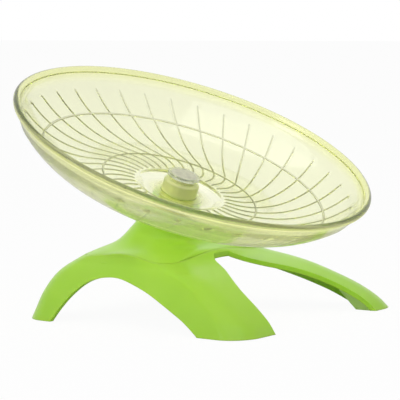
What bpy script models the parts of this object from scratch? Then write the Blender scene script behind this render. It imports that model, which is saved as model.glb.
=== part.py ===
"""Saucer exercise wheel for a hamster: a clear ribbed dish spinning on a tilted four-legged stand.

Sizes are millimetres and degrees. +Z is up, +X is the way the dish tilts down, and the origin
lies on the floor under the centre of the dish's rim.
"""
import math

import bmesh
import bpy
from mathutils import Matrix, Vector

MM = 0.001

# Dish, measured from the centre of its rolled rim, with z along the axle
DISH_DIAMETER = 180.0
RIM_BEAD = 3.6
BOWL_DEPTH = 23.6
BOWL_FLAT_RADIUS = 45.0
DISH_WALL = 2.0
RIM_HEIGHT = 82.0
TILT = 23.7

# Grip ribs moulded on the inside of the dish
RIB_COUNT = 36
RIB_WIDTH = 1.0
RIB_HEIGHT = 0.45
RIB_RECESS_MARGIN = 0.6
RIB_RIM_MARGIN = 4.0
RIB_RING_shares = (0.267, 0.807)

# Sunken middle of the dish and the boss that holds the bearing
RECESS_RADIUS = 22.3
RECESS_SLOPE = 1.6
RECESS_DEPTH = 2.2
BOSS_RADIUS = 8.8
BOSS_BORE = 6.3
BOSS_BELOW_FLOOR = 2.5
BOSS_SHOULDER_HEIGHT = 6.5
BOSS_SHOULDER_ROUND = 1.3
BOSS_NECK_RADIUS = 6.0
BOSS_NECK_HEIGHT = 1.8
SEAT_LIP = 1.2
SEAT_LIP_BORE = 3.9

# Ball bearing pressed into the boss
BEARING_BORE = 4.0
BEARING_OUTER = 9.0
BEARING_WIDTH = 4.0
RACE_WALL = 0.7
BALL_DIAMETER = 1.5
BALL_COUNT = 7
SHIELD_THICKNESS = 0.2
SHIELD_INSET = 0.15
SHIELD_LEDGE = 0.2
CAGE_THICKNESS = 0.45
CAGE_WIDTH = 0.7
CAGE_FINGER_WIDTH = 0.8

# Axle screw, its washer, the bush under the bearing and the threaded insert
AXLE_DIAMETER = 3.8
AXLE_LENGTH = 17.0
AXLE_HEAD_RADIUS = 3.4
AXLE_HEAD_HEIGHT = 1.5
AXLE_SOCKET_RADIUS = 1.2
AXLE_SOCKET_DEPTH = 0.9
WASHER_RADIUS = 2.6
WASHER_THICKNESS = 0.5
BUSH_LENGTH = 2.1
BUSH_WALL = 0.65
INSERT_WALL = 0.8
INSERT_LENGTH = 8.0

# Clear cap with a grey disc on the boss
CAP_RADIUS = 8.15
CAP_THICKNESS = 1.4
CAP_STEM_WALL = 0.7
CAP_STEM_LENGTH = 2.3
CAP_DISC_RADIUS = 6.5
CAP_DISC_THICKNESS = 0.5
CAP_EDGE_ROUND = 0.35

# Stand shell: reaches are measured from the origin at the height of the floor
STAND_FRONT_REACH = 75.5
STAND_REAR_REACH = 65.5
STAND_HALF_WIDTH = 63.2
NECK_RISE = 22.8
STAND_CENTRE = -14.0
FOOT_CORNER_RADIUS = 14.5
SHOULDER_HUMP = 1.6
SHOULDER_SLOPE = 1.5
STAND_WALL = 2.2
REAR_NARROWING = 0.10
NARROWING_FADE = 3.0
NECK_TOP_RADIUS = 12.0
NECK_GAP = 0.5

# Arches between the legs
SIDE_ARCH_BAND = 9.0
FRONT_LEG_LENGTH = 26.0
REAR_LEG_LENGTH = 20.0
FRONT_LEG_WIDTH = 23.2
REAR_LEG_WIDTH = 23.2
FRONT_ARCH_BAND = 1.5
FRONT_ARCH_SKEW = 3.0
REAR_ARCH_BAND = 2.0

# Post, bridge and screws that join the neck cover to the leg frame
POST_RADIUS = 4.2
POST_TUBE_RADIUS = 6.0
POST_TUBE_LENGTH = 21.0
NECK_PLATE = 2.2
BRIDGE_DROP = 4.8
BRIDGE_THICKNESS = 2.0
BRIDGE_LENGTH = 25.0
SCREW_SPACING_X = 15.0
SCREW_SPACING_Y = 37.0
SCREW_RADIUS = 1.4
SCREW_LENGTH = 7.0
SCREW_HEAD_RADIUS = 2.7
SCREW_HEAD_HEIGHT = 1.8
SCREW_BOSS_RADIUS = 3.4

# Rubber foot pads, with lengths measured inside the legs' walls
PAD_HEIGHT = 9.0
PAD_STAND_OFF = 0.4
PAD_FRONT_LENGTH = 9.8
PAD_REAR_LENGTH = 7.0

# Clearances: GAP between mouldings, FIT between turned metal pieces
GAP = 0.3
FIT = 0.1
OVERRUN = 5.0

DISH_COLUMNS_PER_RIB = 3
ROUND_STEPS = 36
SMALL_STEPS = 24
BALL_STEPS = 12
QUARTER_STEPS = 11
CORNER_DENSITY = 3.0
LEVEL_STEPS = 2
BEAD_STEPS = 7
BEAD_HALF_SWEEP = 145.0
CORNER_STEPS = 3
GROOVE_STEPS = 6

# Heights along the axle, from the rim's centre, worked out from the sizes above
BEAD_RADIUS = RIM_BEAD / 2
BEAD_CIRCLE = DISH_DIAMETER / 2 - BEAD_RADIUS
RIB_INNER_RADIUS = RECESS_RADIUS + RIB_RECESS_MARGIN
RIB_OUTER_RADIUS = BEAD_CIRCLE - BEAD_RADIUS - RIB_RIM_MARGIN
RIB_RINGS = [RIB_INNER_RADIUS + share * (RIB_OUTER_RADIUS - RIB_INNER_RADIUS) for share in RIB_RING_shares]
FLOOR_TOP = -BOWL_DEPTH
RECESS_TOP = FLOOR_TOP - RECESS_DEPTH
RECESS_BOTTOM = RECESS_TOP - DISH_WALL
BOSS_BOTTOM = RECESS_BOTTOM - BOSS_BELOW_FLOOR
BOSS_SHOULDER = RECESS_TOP + BOSS_SHOULDER_HEIGHT
BOSS_TOP = BOSS_SHOULDER + BOSS_NECK_HEIGHT
BEARING_TOP = BOSS_TOP - CAP_STEM_LENGTH
BEARING_MIDDLE = BEARING_TOP - BEARING_WIDTH / 2
BEARING_BOTTOM = BEARING_TOP - BEARING_WIDTH
SEAT_LIP_BOTTOM = BEARING_BOTTOM - FIT - SEAT_LIP
CAP_BOTTOM = BOSS_TOP + GAP
CAP_TOP = CAP_BOTTOM + CAP_THICKNESS
BUSH_TOP = BEARING_BOTTOM - FIT
POST_TOP = BUSH_TOP - BUSH_LENGTH - FIT
NECK_TOP = BOSS_BOTTOM - NECK_GAP
WASHER_BOTTOM = BEARING_TOP + FIT
HEAD_BOTTOM = WASHER_BOTTOM + WASHER_THICKNESS + FIT
RACE_INNER = BEARING_BORE / 2 + RACE_WALL
RACE_OUTER = BEARING_OUTER / 2 - RACE_WALL
PITCH_RADIUS = (RACE_INNER + RACE_OUTER) / 2
AXLE_RADIUS = AXLE_DIAMETER / 2
BUSH_BORE = AXLE_RADIUS + FIT

# Heights of the stand over the floor, measured down from the top of the neck
AXLE_DIRECTION = Vector((math.sin(math.radians(TILT)), 0, math.cos(math.radians(TILT))))
RIM_CENTRE = Vector((0, 0, RIM_HEIGHT))
NECK_TOP_HEIGHT = RIM_HEIGHT + NECK_TOP * AXLE_DIRECTION.z
STAND_SHOULDER_HEIGHT = NECK_TOP_HEIGHT - NECK_RISE
SIDE_ARCH_HEIGHT = STAND_SHOULDER_HEIGHT - SIDE_ARCH_BAND
BRIDGE_HEIGHT = STAND_SHOULDER_HEIGHT - BRIDGE_DROP

PART = bpy.data.collections.new("hamster_exercise_wheel")
CUTTERS = bpy.data.collections.new("cutters")


def clear_scene():
    for obj in list(bpy.data.objects):
        bpy.data.objects.remove(obj, do_unlink=True)
    for collection in (PART, CUTTERS):
        bpy.context.scene.collection.children.link(collection)


def finish_material(obj, colour, roughness, metallic=0.0, transmission=0.0):
    """Give the object its own Principled material."""
    material = bpy.data.materials.new(obj.name)
    material.use_nodes = True
    shader = material.node_tree.nodes["Principled BSDF"]
    shader.inputs["Base Color"].default_value = (*colour, 1.0)
    shader.inputs["Roughness"].default_value = roughness
    shader.inputs["Metallic"].default_value = metallic
    shader.inputs["Transmission Weight"].default_value = transmission
    obj.data.materials.append(material)


def lime_plastic(obj):
    finish_material(obj, (0.36, 0.66, 0.07), 0.25)


def clear_plastic(obj):
    finish_material(obj, (0.80, 0.86, 0.35), 0.08, transmission=0.8)


def steel(obj):
    finish_material(obj, (0.62, 0.63, 0.64), 0.25, metallic=1.0)


def brass(obj):
    finish_material(obj, (0.72, 0.55, 0.25), 0.3, metallic=1.0)


def pale_rubber(obj):
    finish_material(obj, (0.62, 0.80, 0.38), 0.7)


def add(name, mesh, collection=PART, parent=None):
    obj = bpy.data.objects.new(name, mesh)
    collection.objects.link(obj)
    obj.parent = parent
    return obj


def as_cutter(obj):
    obj.hide_render = True
    obj.display_type = "WIRE"
    return obj


def boolean(obj, operation, other):
    modifier = obj.modifiers.new(f"{operation} {other.name}".lower(), "BOOLEAN")
    modifier.operation = operation
    modifier.solver = "EXACT"
    modifier.object = other


def smooth_shade(mesh, angle=35.0):
    mesh.shade_smooth()
    mesh.set_sharp_from_angle(angle=math.radians(angle))


def outline_mesh(name, points, closed):
    """Edges in the XZ plane through (radius, height) points."""
    mesh = bpy.data.meshes.new(name)
    count = len(points)
    edges = [(i, (i + 1) % count) for i in range(count if closed else count - 1)]
    mesh.from_pydata([(r * MM, 0, z * MM) for r, z in points], edges, [])
    return mesh


def turned(name, points, steps=ROUND_STEPS, closed=False, collection=PART, parent=None):
    """Turn an outline that runs down its outer side, top to bottom."""
    obj = add(name, outline_mesh(name, points, closed), collection, parent)
    screw = obj.modifiers.new("turn", "SCREW")
    screw.axis = "Z"
    screw.steps = steps
    screw.render_steps = steps
    screw.use_merge_vertices = True
    screw.merge_threshold = 0.01 * FIT * MM
    screw.use_smooth_shade = True
    return obj


def washer_outline(inner, outer, bottom, top):
    return [(inner, top), (outer, top), (outer, bottom), (inner, bottom)]


def arc_points(centre, radius, start, end, count):
    """Points on an arc in the XZ plane, angles in degrees from +X towards +Z."""
    points = []
    for i in range(count + 1):
        angle = math.radians(start + (end - start) * i / count)
        points.append((centre[0] + radius * math.cos(angle), centre[1] + radius * math.sin(angle)))
    return points


def prism(name, outline, low, high, axis="Z", collection=CUTTERS):
    """A flat outline, in the plane across the axis, run from low to high along it."""
    bm = bmesh.new()
    place = {"Z": lambda a, b, c: (a, b, c), "Y": lambda a, b, c: (a, c, b)}[axis]
    ring = [bm.verts.new(Vector(place(a, b, low)) * MM) for a, b in outline]
    face = bm.faces.new(ring)
    moved = bmesh.ops.extrude_face_region(bm, geom=[face])["geom"]
    top = [item for item in moved if isinstance(item, bmesh.types.BMVert)]
    bmesh.ops.translate(bm, verts=top, vec=Vector(place(0, 0, high - low)) * MM)
    bmesh.ops.recalc_face_normals(bm, faces=bm.faces)
    mesh = bpy.data.meshes.new(name)
    bm.to_mesh(mesh)
    bm.free()
    obj = add(name, mesh, collection)
    return as_cutter(obj) if collection is CUTTERS else obj


def smooth_between(keys, x):
    """Values at x on a smooth curve through rows of (x, value, value, ...)."""
    last = len(keys) - 1
    i = 0
    while i < last - 1 and x > keys[i + 1][0]:
        i += 1
    before, a, b, after = keys[max(i - 1, 0)], keys[i], keys[i + 1], keys[min(i + 2, last)]
    span = b[0] - a[0]
    t = (x - a[0]) / span
    row = []
    for k in range(1, len(a)):
        start = (b[k] - before[k]) / (b[0] - before[0]) * span
        end = (after[k] - a[k]) / (after[0] - a[0]) * span
        row.append((2 * t**3 - 3 * t**2 + 1) * a[k] + (t**3 - 2 * t**2 + t) * start
                   + (3 * t**2 - 2 * t**3) * b[k] + (t**3 - t**2) * end)
    return row


def bridge_rings(bm, rings):
    """Skin a list of closed rings, each a list of bmesh vertices, into quads."""
    for lower, upper in zip(rings[:-1], rings[1:]):
        count = len(lower)
        for i in range(count):
            j = (i + 1) % count
            bm.faces.new((lower[i], lower[j], upper[j], upper[i]))


# Stand shell. Each level is a rounded rectangle given by the place of its middle, its tilt,
# its reach forwards and backwards, its half width, its corner radius and the rise of its four
# sides over its corners. Levels run from the floor up to the top of the neck.

LEG_LEVEL_shares = (
    # height, front reach, rear reach, half width, corner radius, hump
    (-0.13, 1.046, 1.020, 1.025, 1.03, 0.0),
    (0.00, 1.000, 1.000, 1.000, 1.00, 0.0),
    (0.19, 0.927, 0.969, 0.956, 0.93, 0.0),
    (0.39, 0.799, 0.939, 0.899, 0.83, 0.0),
    (0.58, 0.642, 0.905, 0.823, 0.76, 0.0),
    (0.71, 0.510, 0.862, 0.771, 0.72, 0.0),
    (0.81, 0.377, 0.809, 0.728, 0.69, 0.1),
    (0.90, 0.258, 0.750, 0.685, 0.69, 0.4),
    (1.00, 0.179, 0.687, 0.649, 0.72, 1.0),
)
# height over the shoulder as a share of the neck's rise, tilt as a share of TILT, then reaches
# forwards and backwards, half width and corner radius as shares of NECK_TOP_RADIUS
FLARE_LEVEL_shares = (
    (0.140, 0.15, 2.08, 1.94, 2.50, 1.75),
    (0.350, 0.58, 1.60, 1.46, 1.56, 1.40),
    (0.510, 0.85, 1.36, 1.26, 1.30, 1.24),
    (0.745, 1.00, 1.12, 1.11, 1.12, 1.09),
    (1.030, 1.00, 0.97, 0.97, 0.97, 0.94),
)

# Ends of the arches, set by the legs and by the bands round the seam that they leave
SIDE_ARCH_FRONT = STAND_FRONT_REACH - FRONT_LEG_LENGTH
SIDE_ARCH_REAR = REAR_LEG_LENGTH - STAND_REAR_REACH
FRONT_ARCH_APEX = LEG_LEVEL_shares[-1][1] * STAND_FRONT_REACH + FRONT_ARCH_BAND
FRONT_ARCH_HALF_WIDTH = STAND_HALF_WIDTH - FRONT_LEG_WIDTH
REAR_ARCH_APEX = -LEG_LEVEL_shares[-1][2] * STAND_REAR_REACH - REAR_ARCH_BAND
REAR_ARCH_HALF_WIDTH = STAND_HALF_WIDTH - REAR_LEG_WIDTH


def axle_x(height):
    """Where the axle's line stands at a height over the floor."""
    return (height - RIM_HEIGHT) / AXLE_DIRECTION.z * AXLE_DIRECTION.x


def stand_levels(steps=LEVEL_STEPS):
    """Level rows (x, z, tilt, front, rear, half width, corner, hump) from the floor to the neck."""
    legs = []
    for high, front, rear, half, corner, hump in LEG_LEVEL_shares:
        legs.append((high, STAND_CENTRE, high * STAND_SHOULDER_HEIGHT, hump * SHOULDER_SLOPE,
                     front * STAND_FRONT_REACH - STAND_CENTRE, rear * STAND_REAR_REACH + STAND_CENTRE,
                     half * STAND_HALF_WIDTH, corner * FOOT_CORNER_RADIUS, hump * SHOULDER_HUMP))
    rise = NECK_TOP_HEIGHT - STAND_SHOULDER_HEIGHT
    flare = [(0.0, *legs[-1][1:])]
    for high, tilt, front, rear, half, corner in FLARE_LEVEL_shares:
        z = STAND_SHOULDER_HEIGHT + high * rise
        lean = min(tilt, 1.0)
        x = STAND_CENTRE + (axle_x(z) - STAND_CENTRE) * lean
        flare.append((high, x, z, tilt * TILT, front * NECK_TOP_RADIUS, rear * NECK_TOP_RADIUS,
                      half * NECK_TOP_RADIUS, corner * NECK_TOP_RADIUS, 0.0))
    rows = []
    for keys in (legs, flare):
        for a, b in zip(keys[:-1], keys[1:]):
            rows += [smooth_between(keys, a[0] + (b[0] - a[0]) * k / steps) for k in range(steps)]
    rows.append(list(flare[-1][1:]))
    return rows


def quarter_point(reach, half, corner, share):
    """A point on a quarter of a rounded rectangle, from the middle of its end to that of its side."""
    along_end = half - corner
    bend = CORNER_DENSITY * corner * math.pi / 2
    distance = share * (along_end + bend + reach - corner)
    if distance <= along_end:
        return reach, distance
    distance -= along_end
    if distance <= bend:
        turn = math.pi / 2 * distance / bend
        return reach - corner + corner * math.cos(turn), along_end + corner * math.sin(turn)
    return reach - corner - (distance - bend), half


def level_ring(level):
    """Points round one level, starting at the middle of its front end."""
    x0, z0, tilt, front, rear, half, corner, hump = level
    slope = math.radians(tilt)
    ring = []
    for i in range(4 * QUARTER_STEPS):
        quadrant, step = divmod(i, QUARTER_STEPS)
        share = step / QUARTER_STEPS
        reach = front if quadrant in (0, 3) else rear
        if quadrant in (1, 3):
            share = 1 - share
        x, y = quarter_point(reach, half, min(corner, front, rear, half), share)
        turn = math.atan2(y / half, x / reach)
        x *= 1 if quadrant in (0, 3) else -1
        y *= 1 if quadrant in (0, 1) else -1
        z = z0 + hump * math.cos(4 * turn) - x * math.sin(slope)
        x = x0 + x * math.cos(slope)
        narrow = REAR_NARROWING * (STAND_FRONT_REACH - x) / (STAND_FRONT_REACH + STAND_REAR_REACH)
        rise = max(z - STAND_SHOULDER_HEIGHT, 0) / (NECK_TOP_HEIGHT - STAND_SHOULDER_HEIGHT)
        ring.append(Vector((x, y * (1 - narrow * max(1 - NARROWING_FADE * rise, 0)), z)))
    return ring


def stand_loft(name, inset=0.0, capped=False, collection=PART, top=NECK_TOP_HEIGHT + OVERRUN):
    """The stand's outer surface up to a height, moved in by inset along its normals."""
    bm = bmesh.new()
    levels = [level for level in stand_levels() if level[1] < top]
    rings = [[bm.verts.new(p * MM) for p in level_ring(level)] for level in levels]
    bridge_rings(bm, rings)
    bm.normal_update()
    for vert, normal in [(v, v.normal.copy()) for v in bm.verts]:
        vert.co -= normal * inset * MM
    if capped:
        bm.faces.new(reversed(rings[0]))
        bm.faces.new(rings[-1])
    mesh = bpy.data.meshes.new(name)
    bm.to_mesh(mesh)
    bm.free()
    smooth_shade(mesh)
    return add(name, mesh, collection)


def stand_shell(name):
    shell = stand_loft(name)
    wall = shell.modifiers.new("wall", "SOLIDIFY")
    wall.thickness = STAND_WALL * MM
    wall.offset = -1
    wall.use_even_offset = True
    return shell


def seam_outline(inset):
    """Plan of the seam between the leg frame and the neck cover."""
    level = stand_levels(1)[len(LEG_LEVEL_shares) - 1]
    points = level_ring(level)
    centre = Vector((STAND_CENTRE, 0))
    outline = []
    for p in points:
        away = Vector((p.x, p.y)) - centre
        outline.append(tuple(centre + away * (1 - inset / away.length)))
    return outline


SEAM_INSET = 1.0
# shares of the arch: along its span from rear to front, and of its height
SIDE_ARCH_shares = (
    (0.000, -0.25), (0.000, 0.00), (0.043, 0.305), (0.100, 0.632), (0.152, 0.832), (0.220, 0.950),
    (0.300, 1.000), (0.374, 0.990), (0.465, 0.909), (0.573, 0.786), (0.675, 0.641), (0.784, 0.464),
    (0.884, 0.282), (0.960, 0.105), (1.000, 0.00), (1.050, -0.25))
# shares of an end arch: along it from its apex out to the foot, and of its half width
END_ARCH_shares = (
    (0.000, 0.14), (0.060, 0.235), (0.145, 0.309), (0.245, 0.404), (0.400, 0.588), (0.525, 0.716),
    (0.632, 0.799), (0.735, 0.863), (0.825, 0.915), (0.925, 0.965), (1.000, 1.000))


def side_arch_cutter():
    span = SIDE_ARCH_FRONT - SIDE_ARCH_REAR
    outline = [(SIDE_ARCH_REAR + along * span, up * SIDE_ARCH_HEIGHT) for along, up in SIDE_ARCH_shares]
    reach = STAND_HALF_WIDTH + OVERRUN
    return prism("side_arch_cutter", outline, -reach, reach, axis="Y")


def end_arch_cutter(name, apex, end, half_width, skew=0.0):
    """A U-shaped opening between two legs, seen from above, leaning towards +Y by skew."""
    rows = [(apex + along * (end - apex), skew * along, share * half_width)
            for along, share in END_ARCH_shares]
    rows.append((end + math.copysign(3 * OVERRUN, end), skew, half_width))
    outline = [(x, middle + half) for x, middle, half in rows]
    outline += [(x, middle - half) for x, middle, half in reversed(rows)]
    return prism(name, outline, -2 * OVERRUN, STAND_SHOULDER_HEIGHT + 2 * OVERRUN)


def block(name, low, high, collection=CUTTERS, parent=None):
    bm = bmesh.new()
    size = [b - a for a, b in zip(low, high)]
    middle = [(a + b) / 2 for a, b in zip(low, high)]
    scale = Matrix.Diagonal((*[s * MM for s in size], 1))
    bmesh.ops.create_cube(bm, size=1, matrix=Matrix.Translation(Vector(middle) * MM) @ scale)
    mesh = bpy.data.meshes.new(name)
    bm.to_mesh(mesh)
    bm.free()
    obj = add(name, mesh, collection, parent)
    return as_cutter(obj) if collection is CUTTERS else obj


def rods(name, places, radius, low, high, steps=SMALL_STEPS):
    """Upright round cutters or bosses at several places."""
    bm = bmesh.new()
    for x, y in places:
        middle = Vector((x, y, (low + high) / 2)) * MM
        bmesh.ops.create_cone(bm, cap_ends=True, segments=steps, radius1=radius * MM, radius2=radius * MM,
                              depth=(high - low) * MM, matrix=Matrix.Translation(middle))
    mesh = bpy.data.meshes.new(name)
    bm.to_mesh(mesh)
    bm.free()
    return as_cutter(add(name, mesh, CUTTERS))


HEAD_TAPER_share = 0.8
SCREW_PLACES = [(STAND_CENTRE + sx * SCREW_SPACING_X / 2, sy * SCREW_SPACING_Y / 2)
                for sx in (-1, 1) for sy in (-1, 1)]


def wall_half_width(height):
    """Half width of the side walls under the shoulder, at the stand's centre."""
    keys = [(h * STAND_SHOULDER_HEIGHT, half * STAND_HALF_WIDTH) for h, _, _, half, _, _ in LEG_LEVEL_shares]
    share = (STAND_FRONT_REACH - STAND_CENTRE) / (STAND_FRONT_REACH + STAND_REAR_REACH)
    return smooth_between(keys, height)[0] * (1 - REAR_NARROWING * share)


def make_leg_frame():
    """Lower shell with four legs, its arches and the bridge that the cover is screwed to."""
    frame = stand_shell("leg_frame")
    far = STAND_FRONT_REACH + STAND_REAR_REACH
    boolean(frame, "DIFFERENCE", block("floor_cutter", (-far, -far, -far), (far, far, PAD_STAND_OFF)))
    seam = prism("leg_frame_seam_cutter", seam_outline(SEAM_INSET - GAP), BRIDGE_HEIGHT,
                 NECK_TOP_HEIGHT + 4 * OVERRUN)
    boolean(frame, "DIFFERENCE", seam)
    top = BRIDGE_HEIGHT + BRIDGE_THICKNESS
    reach = wall_half_width(top) - STAND_WALL / 2
    bridge = block("bridge_plate", (STAND_CENTRE - BRIDGE_LENGTH / 2, -reach, BRIDGE_HEIGHT),
                   (STAND_CENTRE + BRIDGE_LENGTH / 2, reach, top))
    boolean(frame, "UNION", bridge)
    boolean(frame, "DIFFERENCE", side_arch_cutter())
    boolean(frame, "DIFFERENCE", end_arch_cutter("front_arch_cutter", FRONT_ARCH_APEX, STAND_FRONT_REACH,
                                                 FRONT_ARCH_HALF_WIDTH, FRONT_ARCH_SKEW))
    boolean(frame, "DIFFERENCE", end_arch_cutter("rear_arch_cutter", REAR_ARCH_APEX, -STAND_REAR_REACH,
                                                 REAR_ARCH_HALF_WIDTH))
    holes = rods("screw_hole_cutter", SCREW_PLACES, SCREW_RADIUS + GAP, BRIDGE_HEIGHT - OVERRUN, top + OVERRUN)
    boolean(frame, "DIFFERENCE", holes)
    lime_plastic(frame)


def make_neck_cover(axle):
    """Upper shell: the flared neck with its top plate, the axle's post and four screw bosses."""
    cover = stand_shell("neck_cover")
    seam = prism("neck_cover_seam_cutter", seam_outline(SEAM_INSET), 0, NECK_TOP_HEIGHT + 4 * OVERRUN)
    boolean(cover, "INTERSECT", seam)
    far = DISH_DIAMETER
    boolean(cover, "DIFFERENCE", block("neck_top_cutter", (-far, -far, NECK_TOP), (far, far, far), parent=axle))
    core = as_cutter(stand_loft("stand_core", STAND_WALL / 2, True, CUTTERS))
    start = BRIDGE_HEIGHT + BRIDGE_THICKNESS + GAP
    bosses = rods("screw_bosses", SCREW_PLACES, SCREW_BOSS_RADIUS, start, NECK_TOP_HEIGHT)
    boolean(bosses, "INTERSECT", core)
    boolean(cover, "UNION", bosses)
    plate_radius = NECK_TOP_RADIUS - STAND_WALL / 2
    tube_end = NECK_TOP - POST_TUBE_LENGTH
    bore = AXLE_RADIUS + 2 * FIT
    seat = AXLE_RADIUS + FIT + INSERT_WALL + FIT
    seat_end = POST_TOP - INSERT_LENGTH - GAP
    stem = turned("axle_stem", [(seat, POST_TOP), (POST_RADIUS, POST_TOP), (POST_RADIUS, NECK_TOP - GAP),
                                (plate_radius, NECK_TOP - GAP), (plate_radius, NECK_TOP - NECK_PLATE),
                                (POST_TUBE_RADIUS, NECK_TOP - NECK_PLATE), (POST_TUBE_RADIUS, tube_end),
                                (bore, tube_end), (bore, seat_end), (seat, seat_end)],
                  SMALL_STEPS, True, CUTTERS, axle)
    boolean(cover, "UNION", as_cutter(stem))
    screw_top = BRIDGE_HEIGHT + SCREW_LENGTH + GAP
    bores = rods("boss_bore", SCREW_PLACES, SCREW_RADIUS + FIT, 0, screw_top, SMALL_STEPS // 2)
    boolean(cover, "DIFFERENCE", bores)
    lime_plastic(cover)


def make_cover_screws():
    """Four screws driven up through the bridge into the cover's bosses."""
    seat = BRIDGE_HEIGHT - FIT
    outline = [(0, seat + SCREW_LENGTH), (SCREW_RADIUS, seat + SCREW_LENGTH), (SCREW_RADIUS, seat),
               (SCREW_HEAD_RADIUS, seat), (SCREW_HEAD_RADIUS * HEAD_TAPER_share, seat - SCREW_HEAD_HEIGHT),
               (0, seat - SCREW_HEAD_HEIGHT)]
    for number, (x, y) in enumerate(SCREW_PLACES, 1):
        screw = turned(f"cover_screw_{number}", outline, SMALL_STEPS // 2)
        screw.location = Vector((x, y, 0)) * MM
        steel(screw)


def make_foot_pads():
    """Soft pads that fill the legs' ends and stand a little proud of them."""
    core = as_cutter(stand_loft("pad_core", STAND_WALL + GAP, True, CUTTERS, 2 * PAD_HEIGHT))
    keys = [(high * STAND_SHOULDER_HEIGHT, front * STAND_FRONT_REACH, rear * STAND_REAR_REACH)
            for high, front, rear, _, _, _ in LEG_LEVEL_shares]
    front_top, rear_top = smooth_between(keys, PAD_HEIGHT)
    spots = (("front", 1, STAND_FRONT_REACH, front_top, PAD_FRONT_LENGTH, FRONT_ARCH_HALF_WIDTH),
             ("rear", -1, STAND_REAR_REACH, rear_top, PAD_REAR_LENGTH, REAR_ARCH_HALF_WIDTH))
    for end, ahead, reach, top, length, inner in spots:
        inside = length + (STAND_WALL + GAP) * math.hypot(1, (reach - top) / PAD_HEIGHT)
        for side, sign in (("left", 1), ("right", -1)):
            edges = sorted((sign * (inner + 2 * STAND_WALL), sign * STAND_HALF_WIDTH))
            profile = [(ahead * (reach - inside), 0), (ahead * reach, 0), (ahead * reach, PAD_HEIGHT),
                       (ahead * (top - inside), PAD_HEIGHT)]
            pad = prism(f"foot_pad_{end}_{side}", profile, *edges, axis="Y", collection=PART)
            boolean(pad, "INTERSECT", core)
            pale_rubber(pad)


# Dish. Rows of the grid run from the bearing seat out over the ribs, round the rim and back
# underneath. Each rib takes three columns: its two feet and its crest.

RIB_START = -5.6
RIB_SWEEP_shares = (
    # place along the rib from its inner end, sweep in degrees
    (0.00, -28.0), (0.12, -26.5), (0.24, -21.5), (0.41, -12.0), (0.60, -5.0), (0.81, 0.0), (1.00, 3.8))


def rib_sweep(radius):
    """How far round a rib has swept by the time it reaches a radius."""
    share = (radius - RIB_INNER_RADIUS) / (RIB_OUTER_RADIUS - RIB_INNER_RADIUS)
    return math.radians(RIB_START + smooth_between(RIB_SWEEP_shares, min(max(share, 0), 1))[0])


def bowl_arc():
    """Radius of the arc that rises from the flat floor to the rim."""
    run = BEAD_CIRCLE - BOWL_FLAT_RADIUS
    return (run**2 + BOWL_DEPTH**2) / (2 * BOWL_DEPTH)


def bowl_point(radius, below):
    """A point on the bowl's inner surface, or below it along the normal."""
    arc = bowl_arc()
    lean = math.asin(min(max(radius - BOWL_FLAT_RADIUS, 0) / arc, 1))
    height = FLOOR_TOP + arc * (1 - math.cos(lean))
    return radius + below * math.sin(lean), height - below * math.cos(lean)


def dish_rows():
    """Rows (radius, height, kind) of the dish from its recess over the rim to its underside.

    A plain row has kind 0, one that crosses the ribs 1, one on a ring rib 2, and a row past the
    ribs, whose columns are spread evenly, 3.
    """
    half = RIB_WIDTH / 2
    ring_a, ring_b = RIB_RINGS
    flat, top = BOWL_FLAT_RADIUS, RIB_OUTER_RADIUS
    radii = [(RECESS_RADIUS, 0), (RIB_INNER_RADIUS, 0), (RIB_INNER_RADIUS + RIB_WIDTH, 1),
             ((RIB_INNER_RADIUS + ring_a) / 2, 1), (ring_a - half, 1), (ring_a, 2), (ring_a + half, 1),
             (flat, 1), (flat + (ring_b - flat) / 3, 1), (flat + (ring_b - flat) * 2 / 3, 1),
             (ring_b - half, 1), (ring_b, 2), (ring_b + half, 1), ((ring_b + top) / 2, 1),
             (top - RIB_WIDTH, 1), (top, 0)]
    rows = [(*bowl_point(radius, 0), kind) for radius, kind in sorted(radii)]
    lean = math.degrees(math.asin((BEAD_CIRCLE - BOWL_FLAT_RADIUS) / bowl_arc()))
    rows += [(x, z, 3) for x, z in arc_points((BEAD_CIRCLE, 0), BEAD_RADIUS, BEAD_HALF_SWEEP + lean,
                                            lean - BEAD_HALF_SWEEP, BEAD_STEPS)]
    for radius in (top - RIB_WIDTH, (top + ring_b) / 2, ring_b, flat + (ring_b - flat) / 2, flat, ring_a):
        rows.append((*bowl_point(radius, DISH_WALL), 3))
    return rows


def hub_rows():
    """Rows of the plain middle, from the underside round the boss and up to the recess's edge."""
    corner = BOSS_SHOULDER_ROUND
    seat = BEARING_OUTER / 2 + FIT
    inner_edge = RECESS_RADIUS - RECESS_SLOPE
    rows = [(inner_edge + DISH_WALL, FLOOR_TOP - DISH_WALL), (inner_edge, RECESS_BOTTOM),
            (BOSS_RADIUS, RECESS_BOTTOM), (BOSS_RADIUS, BOSS_BOTTOM), (BOSS_BORE, BOSS_BOTTOM),
            (BOSS_BORE, SEAT_LIP_BOTTOM), (SEAT_LIP_BORE, SEAT_LIP_BOTTOM),
            (SEAT_LIP_BORE, BEARING_BOTTOM - FIT), (seat, BEARING_BOTTOM - FIT), (seat, BOSS_TOP),
            (BOSS_NECK_RADIUS, BOSS_TOP), (BOSS_NECK_RADIUS, BOSS_SHOULDER)]
    rows += arc_points((BOSS_RADIUS - corner, BOSS_SHOULDER - corner), corner, 90, 0, CORNER_STEPS)
    rows += [(BOSS_RADIUS, RECESS_TOP), (inner_edge, RECESS_TOP)]
    return rows


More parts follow.
